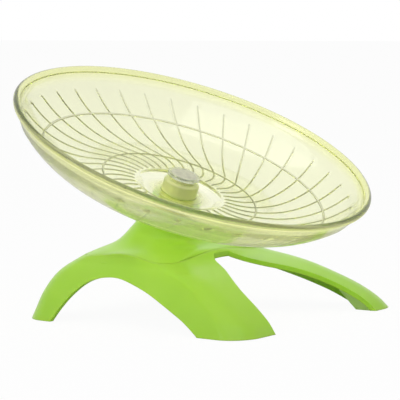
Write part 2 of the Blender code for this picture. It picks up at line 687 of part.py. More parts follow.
def make_dish(axle):
    """Clear dish: bowl, rolled rim, grip ribs, sunken middle and bearing boss in one moulding."""
    bm = bmesh.new()
    pitch = 2 * math.pi / RIB_COUNT
    rings = []
    for radius, height, kind in dish_rows():
        ring = []
        lean = math.asin(min(max(radius - BOWL_FLAT_RADIUS, 0) / bowl_arc(), 1))
        sweep = rib_sweep(RIB_OUTER_RADIUS if kind == 3 else radius)
        spread = pitch / DISH_COLUMNS_PER_RIB if kind == 3 else RIB_WIDTH / 2 / radius
        for column in range(RIB_COUNT * DISH_COLUMNS_PER_RIB):
            rib, step = divmod(column, DISH_COLUMNS_PER_RIB)
            up = RIB_HEIGHT if kind == 2 or (kind == 1 and step == 1) else 0.0
            turn = rib * pitch + sweep + (step - 1) * spread
            r = radius - up * math.sin(lean)
            z = height + up * math.cos(lean)
            ring.append(bm.verts.new(Vector((r * math.cos(turn), r * math.sin(turn), z)) * MM))
        rings.append(ring)
    bridge_rings(bm, rings)
    inner_sweep = rib_sweep(RIB_INNER_RADIUS)
    hub = []
    for radius, height in hub_rows():
        turns = [rib * pitch + inner_sweep for rib in range(RIB_COUNT)]
        hub.append([bm.verts.new(Vector((radius * math.cos(turn), radius * math.sin(turn), height)) * MM)
                    for turn in turns])
    bridge_rings(bm, hub)
    behind = round((inner_sweep - rib_sweep(RIB_OUTER_RADIUS)) / pitch)
    for fine, coarse, first_rib in ((rings[-1], hub[0], behind), (rings[0], hub[-1], 0)):
        for rib in range(RIB_COUNT):
            start = DISH_COLUMNS_PER_RIB * (rib + first_rib) + 1
            edge = [fine[(start + k) % len(fine)] for k in range(DISH_COLUMNS_PER_RIB + 1)]
            face = edge + [coarse[(rib + 1) % RIB_COUNT], coarse[rib]]
            bm.faces.new(reversed(face) if fine is rings[0] else face)
    bmesh.ops.recalc_face_normals(bm, faces=bm.faces)
    mesh = bpy.data.meshes.new("dish")
    bm.to_mesh(mesh)
    bm.free()
    smooth_shade(mesh, 50)
    dish = add("dish", mesh, parent=axle)
    clear_plastic(dish)


def make_cap(axle):
    """Clear cap pushed into the boss, and the grey disc let into its top."""
    stem = BEARING_OUTER / 2
    stem_bottom = BEARING_TOP + FIT
    recess = CAP_DISC_RADIUS + FIT
    recess_floor = CAP_TOP - CAP_DISC_THICKNESS - FIT
    edge = arc_points((CAP_RADIUS - CAP_EDGE_ROUND, CAP_TOP - CAP_EDGE_ROUND), CAP_EDGE_ROUND, 90, 0,
                      CORNER_STEPS)
    outline = [(0, recess_floor), (recess, recess_floor), (recess, CAP_TOP), *edge,
               (CAP_RADIUS, CAP_BOTTOM), (stem, CAP_BOTTOM), (stem, stem_bottom),
               (stem - CAP_STEM_WALL, stem_bottom), (stem - CAP_STEM_WALL, CAP_BOTTOM), (0, CAP_BOTTOM)]
    clear_plastic(turned("hub_cap", outline, parent=axle))
    disc = turned("cap_disc", [(0, CAP_TOP), (CAP_DISC_RADIUS, CAP_TOP),
                               (CAP_DISC_RADIUS, CAP_TOP - CAP_DISC_THICKNESS),
                               (0, CAP_TOP - CAP_DISC_THICKNESS)], parent=axle)
    finish_material(disc, (0.55, 0.56, 0.54), 0.45)


def make_bearing(axle):
    """Deep-groove ball bearing: two rings, seven balls, a crown cage and two shields."""
    half = BEARING_WIDTH / 2
    ball = BALL_DIAMETER / 2
    groove = ball + FIT
    middle = (PITCH_RADIUS, BEARING_MIDDLE)
    reach = math.degrees(math.acos((PITCH_RADIUS - RACE_INNER) / groove))
    ledge = RACE_OUTER + SHIELD_LEDGE
    ledge_depth = SHIELD_INSET + SHIELD_THICKNESS + FIT
    inner = [(BEARING_BORE / 2, BEARING_TOP), (RACE_INNER, BEARING_TOP),
             *arc_points(middle, groove, 180 - reach, 180 + reach, GROOVE_STEPS),
             (RACE_INNER, BEARING_BOTTOM), (BEARING_BORE / 2, BEARING_BOTTOM)]
    outer = [(ledge, BEARING_TOP), (BEARING_OUTER / 2, BEARING_TOP), (BEARING_OUTER / 2, BEARING_BOTTOM),
             (ledge, BEARING_BOTTOM), (ledge, BEARING_BOTTOM + ledge_depth),
             (RACE_OUTER, BEARING_BOTTOM + ledge_depth),
             *arc_points(middle, groove, -reach, reach, GROOVE_STEPS),
             (RACE_OUTER, BEARING_TOP - ledge_depth), (ledge, BEARING_TOP - ledge_depth)]
    steel(turned("bearing_inner_ring", inner, SMALL_STEPS, True, parent=axle))
    steel(turned("bearing_outer_ring", outer, SMALL_STEPS, True, parent=axle))

    bm = bmesh.new()
    bmesh.ops.create_uvsphere(bm, u_segments=BALL_STEPS, v_segments=BALL_STEPS // 2, radius=ball * MM)
    mesh = bpy.data.meshes.new("bearing_ball")
    bm.to_mesh(mesh)
    bm.free()
    smooth_shade(mesh, 60)
    for i in range(BALL_COUNT):
        turn = 2 * math.pi * i / BALL_COUNT
        sphere = add(f"bearing_ball_{i + 1}", mesh, parent=axle)
        place = (PITCH_RADIUS * math.cos(turn), PITCH_RADIUS * math.sin(turn), BEARING_MIDDLE)
        sphere.location = Vector(place) * MM
    steel(sphere)

    low = BEARING_MIDDLE + ball + FIT
    cage = turned("bearing_cage", washer_outline(PITCH_RADIUS - CAGE_WIDTH / 2, PITCH_RADIUS + CAGE_WIDTH / 2,
                                                 low, low + CAGE_THICKNESS), SMALL_STEPS, True, parent=axle)
    bm = bmesh.new()
    finger = CAGE_WIDTH - 2 * FIT
    tall = ball + FIT + CAGE_THICKNESS
    scale = Matrix.Diagonal((finger * MM, CAGE_FINGER_WIDTH * MM, tall * MM, 1))
    for i in range(BALL_COUNT):
        turn = 2 * math.pi * (i + 0.5) / BALL_COUNT
        place = Matrix.Rotation(turn, 4, "Z") @ Matrix.Translation(
            Vector((PITCH_RADIUS, 0, low + CAGE_THICKNESS / 2 - tall / 2)) * MM)
        bmesh.ops.create_cube(bm, size=1, matrix=place @ scale)
    mesh = bpy.data.meshes.new("cage_fingers")
    bm.to_mesh(mesh)
    bm.free()
    boolean(cage, "UNION", as_cutter(add("cage_fingers", mesh, CUTTERS, axle)))
    finish_material(cage, (0.75, 0.72, 0.62), 0.5)

    for side, edge, way in (("upper", BEARING_TOP, -1), ("lower", BEARING_BOTTOM, 1)):
        near = edge + way * SHIELD_INSET
        far = near + way * SHIELD_THICKNESS
        outline = washer_outline(RACE_INNER + FIT, ledge - FIT, min(near, far), max(near, far))
        steel(turned(f"bearing_shield_{side}", outline, SMALL_STEPS, True, parent=axle))


def make_axle_group(axle):
    """Socket-head screw through the bearing, with its washer, bush and threaded insert."""
    top = HEAD_BOTTOM + AXLE_HEAD_HEIGHT
    floor = top - AXLE_SOCKET_DEPTH
    outline = [(0, floor), (AXLE_SOCKET_RADIUS, floor), (AXLE_SOCKET_RADIUS, top), (AXLE_HEAD_RADIUS, top),
               (AXLE_HEAD_RADIUS, HEAD_BOTTOM), (AXLE_RADIUS, HEAD_BOTTOM),
               (AXLE_RADIUS, HEAD_BOTTOM - AXLE_LENGTH), (0, HEAD_BOTTOM - AXLE_LENGTH)]
    steel(turned("axle_screw", outline, SMALL_STEPS, parent=axle))
    washer = washer_outline(BUSH_BORE, WASHER_RADIUS, WASHER_BOTTOM, WASHER_BOTTOM + WASHER_THICKNESS)
    steel(turned("axle_washer", washer, SMALL_STEPS, True, parent=axle))
    bush = washer_outline(BUSH_BORE, BUSH_BORE + BUSH_WALL, BUSH_TOP - BUSH_LENGTH, BUSH_TOP)
    brass(turned("bearing_bush", bush, SMALL_STEPS, True, parent=axle))
    insert = washer_outline(BUSH_BORE, BUSH_BORE + INSERT_WALL, POST_TOP - INSERT_LENGTH, POST_TOP - FIT)
    brass(turned("threaded_insert", insert, SMALL_STEPS, True, parent=axle))


clear_scene()
axle_line = bpy.data.objects.new("axle_line", None)
axle_line.location = RIM_CENTRE * MM
axle_line.rotation_euler = (0, math.radians(TILT), 0)
PART.objects.link(axle_line)
make_leg_frame()
make_neck_cover(axle_line)
make_cover_screws()
make_foot_pads()
make_dish(axle_line)
make_cap(axle_line)
make_bearing(axle_line)
make_axle_group(axle_line)
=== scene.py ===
"""Looks of a hamster's saucer wheel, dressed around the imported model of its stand, bearing and dish."""
import math

import bmesh
import bpy
from mathutils import Matrix, Vector


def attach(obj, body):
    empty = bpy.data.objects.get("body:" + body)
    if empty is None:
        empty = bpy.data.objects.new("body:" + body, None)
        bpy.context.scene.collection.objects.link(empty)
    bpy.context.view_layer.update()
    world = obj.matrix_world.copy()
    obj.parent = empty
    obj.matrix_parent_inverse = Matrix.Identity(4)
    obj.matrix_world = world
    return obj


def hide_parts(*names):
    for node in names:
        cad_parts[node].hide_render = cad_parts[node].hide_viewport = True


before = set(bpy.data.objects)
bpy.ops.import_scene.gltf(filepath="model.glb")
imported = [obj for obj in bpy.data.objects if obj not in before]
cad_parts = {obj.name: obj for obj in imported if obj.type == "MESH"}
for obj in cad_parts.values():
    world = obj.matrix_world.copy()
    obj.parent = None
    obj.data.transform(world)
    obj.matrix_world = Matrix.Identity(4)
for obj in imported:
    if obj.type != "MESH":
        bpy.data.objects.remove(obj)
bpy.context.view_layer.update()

# Leg frame
# The lower half of the stand is one shell, moulded in glossy lime green plastic about 2 mm thick.
# Two side arches and two end arches leave four legs, and a bridge inside takes the cover's screws.
MM = 0.001
DISH_DIAMETER = 180.0
RIM_HEIGHT = 82.0
TILT = 23.7
STAND_FRONT_REACH = 75.5
STAND_REAR_REACH = 65.5
STAND_HALF_WIDTH = 63.2
NECK_RISE = 22.8
STAND_CENTRE = -14.0
FOOT_CORNER_RADIUS = 14.5
SHOULDER_HUMP = 1.6
SHOULDER_SLOPE = 1.5
STAND_WALL = 2.2
REAR_NARROWING = 0.10
NARROWING_FADE = 3.0
NECK_TOP_RADIUS = 12.0
NECK_TOP = -30.8
PAD_STAND_OFF = 0.4
GAP = 0.3
FIT = 0.1
OVERRUN = 5.0
QUARTER_STEPS = 40
CORNER_DENSITY = 3.0
LEVEL_STEPS = 6
SEAM_INSET = 1.0
SIDE_ARCH_BAND = 9.0
SIDE_ARCH_FRONT = 49.5
SIDE_ARCH_REAR = -45.5
FRONT_ARCH_APEX = 15.0
FRONT_ARCH_HALF_WIDTH = 40.0
FRONT_ARCH_SKEW = 3.0
REAR_ARCH_APEX = -47.0
REAR_ARCH_HALF_WIDTH = 40.0
BRIDGE_DROP = 4.8
BRIDGE_THICKNESS = 2.0
BRIDGE_LENGTH = 25.0
BRIDGE_HALF_WIDTH = 40.5
SCREW_SPACING_X = 15.0
SCREW_SPACING_Y = 37.0
SCREW_RADIUS = 1.4
ARCH_STEPS = 6

LEG_LEVEL_shares = (
    # height, front reach, rear reach, half width, corner radius, hump
    (-0.13, 1.046, 1.020, 1.025, 1.03, 0.0),
    (0.00, 1.000, 1.000, 1.000, 1.00, 0.0),
    (0.19, 0.927, 0.969, 0.956, 0.93, 0.0),
    (0.39, 0.799, 0.939, 0.899, 0.83, 0.0),
    (0.58, 0.642, 0.905, 0.823, 0.76, 0.0),
    (0.71, 0.510, 0.862, 0.771, 0.72, 0.0),
    (0.81, 0.377, 0.809, 0.728, 0.69, 0.1),
    (0.90, 0.258, 0.750, 0.685, 0.69, 0.4),
    (1.00, 0.179, 0.687, 0.649, 0.72, 1.0),
)
FLARE_LEVEL_shares = (
    # height over the shoulder, tilt, then front reach, rear reach, half width and corner radius
    (0.140, 0.15, 2.08, 1.94, 2.50, 1.75),
    (0.350, 0.58, 1.60, 1.46, 1.56, 1.40),
    (0.510, 0.85, 1.36, 1.26, 1.30, 1.24),
    (0.745, 1.00, 1.12, 1.11, 1.12, 1.09),
    (1.030, 1.00, 0.97, 0.97, 0.97, 0.94),
)
SIDE_ARCH_shares = (
    (0.000, 0.00), (0.043, 0.305), (0.100, 0.632), (0.152, 0.832), (0.220, 0.950),
    (0.300, 1.000), (0.374, 0.990), (0.465, 0.909), (0.573, 0.786), (0.675, 0.641), (0.784, 0.464),
    (0.884, 0.282), (0.960, 0.105), (1.000, 0.00))
END_ARCH_shares = (
    (0.000, 0.14), (0.060, 0.235), (0.145, 0.309), (0.245, 0.404), (0.400, 0.588), (0.525, 0.716),
    (0.632, 0.799), (0.735, 0.863), (0.825, 0.915), (0.925, 0.965), (1.000, 1.000))

AXLE_DIRECTION = Vector((math.sin(math.radians(TILT)), 0, math.cos(math.radians(TILT))))
NECK_TOP_HEIGHT = RIM_HEIGHT + NECK_TOP * AXLE_DIRECTION.z
STAND_SHOULDER_HEIGHT = NECK_TOP_HEIGHT - NECK_RISE
SIDE_ARCH_HEIGHT = STAND_SHOULDER_HEIGHT - SIDE_ARCH_BAND
BRIDGE_HEIGHT = STAND_SHOULDER_HEIGHT - BRIDGE_DROP
AXLE_PLACE = Matrix.Translation((0, 0, RIM_HEIGHT * MM)) @ Matrix.Rotation(math.radians(TILT), 4, "Y")
SCREW_PLACES = [(STAND_CENTRE + sx * SCREW_SPACING_X / 2, sy * SCREW_SPACING_Y / 2)
                for sx in (-1, 1) for sy in (-1, 1)]


def smooth_between(keys, x):
    """Values at x on a smooth curve through rows of (x, value, value, ...)."""
    last = len(keys) - 1
    i = 0
    while i < last - 1 and x > keys[i + 1][0]:
        i += 1
    before, a, b, after = keys[max(i - 1, 0)], keys[i], keys[i + 1], keys[min(i + 2, last)]
    span = b[0] - a[0]
    t = (x - a[0]) / span
    row = []
    for k in range(1, len(a)):
        start = (b[k] - before[k]) / (b[0] - before[0]) * span
        end = (after[k] - a[k]) / (after[0] - a[0]) * span
        row.append((2 * t**3 - 3 * t**2 + 1) * a[k] + (t**3 - 2 * t**2 + t) * start
                   + (3 * t**2 - 2 * t**3) * b[k] + (t**3 - t**2) * end)
    return row


def stand_levels(steps):
    """Level rows (x, z, tilt, front, rear, half width, corner, hump) from the floor to the neck."""
    legs = []
    for high, front, rear, half, corner, hump in LEG_LEVEL_shares:
        legs.append((high, STAND_CENTRE, high * STAND_SHOULDER_HEIGHT, hump * SHOULDER_SLOPE,
                     front * STAND_FRONT_REACH - STAND_CENTRE, rear * STAND_REAR_REACH + STAND_CENTRE,
                     half * STAND_HALF_WIDTH, corner * FOOT_CORNER_RADIUS, hump * SHOULDER_HUMP))
    rise = NECK_TOP_HEIGHT - STAND_SHOULDER_HEIGHT
    flare = [(0.0, *legs[-1][1:])]
    for high, tilt, front, rear, half, corner in FLARE_LEVEL_shares:
        z = STAND_SHOULDER_HEIGHT + high * rise
        axle_x = (z - RIM_HEIGHT) / AXLE_DIRECTION.z * AXLE_DIRECTION.x
        x = STAND_CENTRE + (axle_x - STAND_CENTRE) * min(tilt, 1.0)
        flare.append((high, x, z, tilt * TILT, front * NECK_TOP_RADIUS, rear * NECK_TOP_RADIUS,
                      half * NECK_TOP_RADIUS, corner * NECK_TOP_RADIUS, 0.0))
    rows = []
    for keys in (legs, flare):
        for a, b in zip(keys[:-1], keys[1:]):
            rows += [smooth_between(keys, a[0] + (b[0] - a[0]) * k / steps) for k in range(steps)]
    rows.append(list(flare[-1][1:]))
    return rows


def quarter_point(reach, half, corner, share):
    """A point on a quarter of a rounded rectangle, from the middle of its end to that of its side."""
    along_end = half - corner
    bend = CORNER_DENSITY * corner * math.pi / 2
    distance = share * (along_end + bend + reach - corner)
    if distance <= along_end:
        return reach, distance
    distance -= along_end
    if distance <= bend:
        turn = math.pi / 2 * distance / bend
        return reach - corner + corner * math.cos(turn), along_end + corner * math.sin(turn)
    return reach - corner - (distance - bend), half


def level_ring(level):
    """Points round one level, starting at the middle of its front end."""
    x0, z0, tilt, front, rear, half, corner, hump = level
    slope = math.radians(tilt)
    ring = []
    for i in range(4 * QUARTER_STEPS):
        quadrant, step = divmod(i, QUARTER_STEPS)
        share = step / QUARTER_STEPS
        reach = front if quadrant in (0, 3) else rear
        if quadrant in (1, 3):
            share = 1 - share
        x, y = quarter_point(reach, half, min(corner, front, rear, half), share)
        turn = math.atan2(y / half, x / reach)
        x *= 1 if quadrant in (0, 3) else -1
        y *= 1 if quadrant in (0, 1) else -1
        z = z0 + hump * math.cos(4 * turn) - x * math.sin(slope)
        x = x0 + x * math.cos(slope)
        narrow = REAR_NARROWING * (STAND_FRONT_REACH - x) / (STAND_FRONT_REACH + STAND_REAR_REACH)
        rise = max(z - STAND_SHOULDER_HEIGHT, 0) / (NECK_TOP_HEIGHT - STAND_SHOULDER_HEIGHT)
        ring.append(Vector((x, y * (1 - narrow * max(1 - NARROWING_FADE * rise, 0)), z)))
    return ring


def new_piece(name, bm):
    """A new object in the scene from a bmesh, which is freed."""
    mesh = bpy.data.meshes.new(name)
    bm.to_mesh(mesh)
    bm.free()
    piece = bpy.data.objects.new(name, mesh)
    bpy.context.scene.collection.objects.link(piece)
    return piece


def bridge_rings(bm, rings, close=False):
    """Skin closed rings of vertices with quads, and join the last to the first if asked."""
    for lower, upper in zip(rings, rings[1:] + rings[:1] if close else rings[1:]):
        for i in range(len(lower)):
            j = (i + 1) % len(lower)
            bm.faces.new((lower[i], lower[j], upper[j], upper[i]))


def stand_loft(name, inset=0.0, capped=False):
    """The stand's outer surface, moved in by inset."""
    bm = bmesh.new()
    rings = [[bm.verts.new(p * MM) for p in level_ring(level)] for level in stand_levels(LEVEL_STEPS)]
    bridge_rings(bm, rings)
    bm.normal_update()
    for vert, normal in [(v, v.normal.copy()) for v in bm.verts]:
        vert.co -= normal * inset * MM
    if capped:
        bm.faces.new(reversed(rings[0]))
        bm.faces.new(rings[-1])
    return new_piece(name, bm)


def prism(name, outline, low, high, axis="Z"):
    """A flat outline, in the plane across the axis, run from low to high along it."""
    place = {"Z": lambda a, b, c: Vector((a, b, c)), "Y": lambda a, b, c: Vector((a, c, b))}[axis]
    bm = bmesh.new()
    face = bm.faces.new([bm.verts.new(place(a, b, low) * MM) for a, b in outline])
    moved = bmesh.ops.extrude_face_region(bm, geom=[face])["geom"]
    top = [item for item in moved if isinstance(item, bmesh.types.BMVert)]
    bmesh.ops.translate(bm, verts=top, vec=place(0, 0, high - low) * MM)
    bmesh.ops.recalc_face_normals(bm, faces=bm.faces)
    return new_piece(name, bm)


def block(name, low, high, place=Matrix.Identity(4)):
    """A box between two corners, in millimetres, put in place by a matrix."""
    middle = (Vector(low) + Vector(high)) / 2 * MM
    scale = Matrix.Diagonal((*(MM * (b - a) for a, b in zip(low, high)), 1))
    bm = bmesh.new()
    bmesh.ops.create_cube(bm, size=1, matrix=place @ Matrix.Translation(middle) @ scale)
    return new_piece(name, bm)


def rods(name, places, radius, low, high, steps):
    """Upright round bars at several places."""
    bm = bmesh.new()
    for x, y in places:
        middle = Vector((x, y, (low + high) / 2)) * MM
        bmesh.ops.create_cone(bm, cap_ends=True, segments=steps, radius1=radius * MM, radius2=radius * MM,
                              depth=(high - low) * MM, matrix=Matrix.Translation(middle))
    return new_piece(name, bm)


def settle(piece):
    """Replace a piece's mesh by what its modifiers make of it."""
    graph = bpy.context.evaluated_depsgraph_get()
    made = bpy.data.meshes.new_from_object(piece.evaluated_get(graph))
    piece.modifiers.clear()
    piece.data = made


def carve(piece, steps):
    """Cut, join or cross a piece with others, which are then removed."""
    for operation, other in steps:
        modifier = piece.modifiers.new(operation, "BOOLEAN")
        modifier.operation = operation
        modifier.solver = "EXACT"
        modifier.object = other
        settle(piece)
        bpy.data.objects.remove(other)


def stand_shell(name):
    """The whole stand as a shell, before it is cut into frame and cover."""
    shell = stand_loft(name)
    wall = shell.modifiers.new("wall", "SOLIDIFY")
    wall.thickness = STAND_WALL * MM
    wall.offset = -1
    wall.use_even_offset = True
    settle(shell)
    return shell


def seam_outline(inset):
    """Plan of the seam between the leg frame and the neck cover."""
    level = stand_levels(1)[len(LEG_LEVEL_shares) - 1]
    centre = Vector((STAND_CENTRE, 0))
    outline = []
    for p in level_ring(level):
        away = Vector((p.x, p.y)) - centre
        outline.append(tuple(centre + away * (1 - inset / away.length)))
    return outline


def fine_outline(shares, steps):
    """A smooth line through an arch's share points."""
    keys = [(i, *row) for i, row in enumerate(shares)]
    return [smooth_between(keys, i / steps) for i in range((len(keys) - 1) * steps + 1)]


def side_arch():
    """The arch between a front and a rear leg, right through both sides."""
    span = SIDE_ARCH_FRONT - SIDE_ARCH_REAR
    rows = fine_outline(SIDE_ARCH_shares, ARCH_STEPS)
    outline = [(SIDE_ARCH_REAR + along * span, up * SIDE_ARCH_HEIGHT) for along, up in rows]
    outline = [(SIDE_ARCH_REAR, -OVERRUN), *outline, (SIDE_ARCH_FRONT + OVERRUN, -OVERRUN)]
    reach = STAND_HALF_WIDTH + OVERRUN
    return prism("side_arch", outline, -reach, reach, axis="Y")


def end_arch(apex, end, half_width, skew=0.0):
    """A U-shaped opening between two legs, seen from above."""
    rows = [(apex + along * (end - apex), skew * along, share * half_width)
            for along, share in fine_outline(END_ARCH_shares, ARCH_STEPS)]
    rows.append((end + math.copysign(3 * OVERRUN, end), skew, half_width))
    outline = [(x, middle + half) for x, middle, half in rows]
    outline += [(x, middle - half) for x, middle, half in reversed(rows)]
    return prism("end_arch", outline, -2 * OVERRUN, STAND_SHOULDER_HEIGHT + 2 * OVERRUN)


def shade(piece, angle):
    """Smooth shading that keeps edges sharper than an angle."""
    piece.data.shade_smooth()
    piece.data.set_sharp_from_angle(angle=math.radians(angle))


far = DISH_DIAMETER
bridge_top = BRIDGE_HEIGHT + BRIDGE_THICKNESS
leg_frame = stand_shell("green_leg_frame")
carve(leg_frame, [
    ("DIFFERENCE", prism("seam", seam_outline(SEAM_INSET - GAP), BRIDGE_HEIGHT,
                         NECK_TOP_HEIGHT + 4 * OVERRUN)),
    ("UNION", block("bridge", (STAND_CENTRE - BRIDGE_LENGTH / 2, -BRIDGE_HALF_WIDTH, BRIDGE_HEIGHT),
                    (STAND_CENTRE + BRIDGE_LENGTH / 2, BRIDGE_HALF_WIDTH, bridge_top))),
    ("DIFFERENCE", side_arch()),
    ("DIFFERENCE", end_arch(FRONT_ARCH_APEX, STAND_FRONT_REACH, FRONT_ARCH_HALF_WIDTH, FRONT_ARCH_SKEW)),
    ("DIFFERENCE", end_arch(REAR_ARCH_APEX, -STAND_REAR_REACH, REAR_ARCH_HALF_WIDTH)),
    ("DIFFERENCE", block("floor_cut", (-far, -far, -far), (far, far, PAD_STAND_OFF))),
    ("DIFFERENCE", rods("screw_holes", SCREW_PLACES, SCREW_RADIUS + GAP, BRIDGE_HEIGHT - OVERRUN,
                        bridge_top + OVERRUN, 24)),
])
shade(leg_frame, 38)


def start_material(name):
    """A node material with its Principled shader and a helper that adds linked nodes."""
    material = bpy.data.materials.new(name)
    material.use_nodes = True
    tree = material.node_tree
    shader = tree.nodes["Principled BSDF"]

    def add(kind, inputs=(), **settings):
        """Add a node with its settings, and its inputs as values or links."""
        node = tree.nodes.new(kind)
        for key, value in settings.items():
            setattr(node, key, value)
        for key, value in dict(inputs).items():
            if isinstance(value, bpy.types.NodeSocket):
                tree.links.new(value, node.inputs[key])
            else:
                node.inputs[key].default_value = value
        return node

    return material, tree, shader, add


def ramp(add, factor, low, high):
    """A colour that goes from low to high with a factor."""
    node = add("ShaderNodeValToRGB", {"Fac": factor})
    node.color_ramp.elements[0].color = (*low, 1)
    node.color_ramp.elements[1].color = (*high, 1)
    return node.outputs["Color"]


LIME_DEEP = (0.322, 0.612, 0.036)
LIME_LIGHT = (0.415, 0.700, 0.072)


def lime_plastic():
    """Injection-moulded lime plastic: soft colour drift, a fine skin and slightly rounded edges."""
    material, tree, shader, add = start_material("lime_plastic")
    place = add("ShaderNodeTexCoord").outputs["Object"]
    drift = add("ShaderNodeTexNoise", {"Vector": place, "Scale": 28.0, "Detail": 2.0})
    skin = add("ShaderNodeTexNoise", {"Vector": place, "Scale": 900.0, "Detail": 3.0})
    tree.links.new(ramp(add, drift.outputs["Fac"], LIME_DEEP, LIME_LIGHT), shader.inputs["Base Color"])
    gloss = add("ShaderNodeMapRange", {"Value": skin.outputs["Fac"], "To Min": 0.26, "To Max": 0.36})
    tree.links.new(gloss.outputs["Result"], shader.inputs["Roughness"])
    edge = add("ShaderNodeBevel", {"Radius": 0.0005}, samples=4)
    bump = add("ShaderNodeBump", {"Height": skin.outputs["Fac"], "Strength": 0.04, "Distance": 0.0002,
                                  "Normal": edge.outputs["Normal"]})
    tree.links.new(bump.outputs["Normal"], shader.inputs["Normal"])
    shader.inputs["IOR"].default_value = 1.49
    shader.inputs["Specular IOR Level"].default_value = 0.17
    shader.inputs["Coat Weight"].default_value = 0.10
    shader.inputs["Coat Roughness"].default_value = 0.08
    shader.inputs["Sheen Weight"].default_value = 0.08
    shader.inputs["Sheen Roughness"].default_value = 0.35
    shader.inputs["Subsurface Weight"].default_value = 0.35
    shader.inputs["Subsurface Radius"].default_value = (1.0, 1.4, 0.3)
    shader.inputs["Subsurface Scale"].default_value = 0.003
    return material


lime = lime_plastic()
leg_frame.data.materials.clear()
leg_frame.data.materials.append(lime)
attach(leg_frame, "stand")
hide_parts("leg_frame")

# Foot pads
# Each leg ends in a soft pad of paler green rubber, pushed up into the hollow foot, which keeps
# the stand from sliding while the dish spins. The pads stand a little proud of the plastic.


def cad_finish(name, material, angle=35):
    """Give a CAD piece its material and smooth shading over its round faces."""
    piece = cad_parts[name]
    piece.data.materials.clear()
    piece.data.materials.append(material)
    weld = piece.modifiers.new("weld", "WELD")
    weld.merge_threshold = 1e-6
    smooth = piece.modifiers.new("smooth", "EDGE_SPLIT")
    smooth.split_angle = math.radians(angle)
    piece.data.shade_smooth()


def soft_rubber():
    """Matt rubber with a fine grain."""
    material, tree, shader, add = start_material("pale_green_rubber")
    place = add("ShaderNodeTexCoord").outputs["Object"]
    grain = add("ShaderNodeTexNoise", {"Vector": place, "Scale": 1400.0, "Detail": 4.0})
    tree.links.new(ramp(add, grain.outputs["Fac"], (0.44, 0.68, 0.20), (0.56, 0.80, 0.30)),
                   shader.inputs["Base Color"])
    bump = add("ShaderNodeBump", {"Height": grain.outputs["Fac"], "Strength": 0.25, "Distance": 0.0003})
    tree.links.new(bump.outputs["Normal"], shader.inputs["Normal"])
    shader.inputs["Roughness"].default_value = 0.62
    return material


rubber = soft_rubber()
for end in ("front", "rear"):
    for side in ("left", "right"):
        cad_finish(f"foot_pad_{end}_{side}", rubber)

# Neck cover
# The upper half of the stand is a second green moulding that flares up from the seam into a round
# neck. Its top plate carries the tilted post for the axle, and four bosses take the screws.
NECK_PLATE = 2.2
POST_RADIUS = 4.2
POST_TUBE_RADIUS = 6.0
POST_TUBE_LENGTH = 21.0
POST_TOP = -26.1
POST_SEAT_RADIUS = 2.9
POST_BORE_RADIUS = 2.1
POST_SEAT_DEPTH = 8.3
SCREW_BOSS_RADIUS = 3.4
SCREW_LENGTH = 7.0
TURN_STEPS = 72


def turned(name, outline, steps=TURN_STEPS, place=AXLE_PLACE):
    """Turn a closed outline of (radius, height) points about the axle."""
    bm = bmesh.new()
    hub = [bm.verts.new((0, 0, z * MM)) if r == 0 else None for r, z in outline]
    rings = []
    for i in range(steps):
        turn = 2 * math.pi * i / steps
        rings.append([hub[k] or bm.verts.new((r * MM * math.cos(turn), r * MM * math.sin(turn), z * MM))
                      for k, (r, z) in enumerate(outline)])
    for a, b in zip(rings, rings[1:] + rings[:1]):
        for k in range(len(outline)):
            n = (k + 1) % len(outline)
            corners = list(dict.fromkeys((a[k], a[n], b[n], b[k])))
            if len(corners) > 2:
                bm.faces.new(corners)
    bmesh.ops.recalc_face_normals(bm, faces=bm.faces)
    bmesh.ops.transform(bm, matrix=place, verts=bm.verts)
    return new_piece(name, bm)


plate_radius = NECK_TOP_RADIUS - STAND_WALL / 2
tube_end = NECK_TOP - POST_TUBE_LENGTH
seat_end = POST_TOP - POST_SEAT_DEPTH
bosses = rods("bosses", SCREW_PLACES, SCREW_BOSS_RADIUS, bridge_top + GAP, NECK_TOP_HEIGHT, 32)
carve(bosses, [("INTERSECT", stand_loft("core", STAND_WALL / 2, True))])
neck_cover = stand_shell("green_neck_cover")
carve(neck_cover, [
    ("INTERSECT", prism("seam", seam_outline(SEAM_INSET), 0, NECK_TOP_HEIGHT + 4 * OVERRUN)),
    ("DIFFERENCE", block("top_cut", (-far, -far, NECK_TOP), (far, far, far), AXLE_PLACE)),
    ("UNION", bosses),
    ("UNION", turned("axle_stem", [
        (POST_SEAT_RADIUS, POST_TOP), (POST_RADIUS, POST_TOP), (POST_RADIUS, NECK_TOP - GAP),
        (plate_radius, NECK_TOP - GAP), (plate_radius, NECK_TOP - NECK_PLATE),
        (POST_TUBE_RADIUS, NECK_TOP - NECK_PLATE), (POST_TUBE_RADIUS, tube_end),
        (POST_BORE_RADIUS, tube_end), (POST_BORE_RADIUS, seat_end), (POST_SEAT_RADIUS, seat_end)])),
    ("DIFFERENCE", rods("boss_bores", SCREW_PLACES, SCREW_RADIUS + FIT, 0,
                        BRIDGE_HEIGHT + SCREW_LENGTH + GAP, 24)),
])
shade(neck_cover, 38)
neck_cover.data.materials.clear()
neck_cover.data.materials.append(lime)
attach(neck_cover, "stand")
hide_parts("neck_cover")

# Screws, insert, bush and washer
# Small turned and plated metal pieces: four screws under the cover, a brass insert and bush in the
# post, and the axle screw with its washer over the bearing.


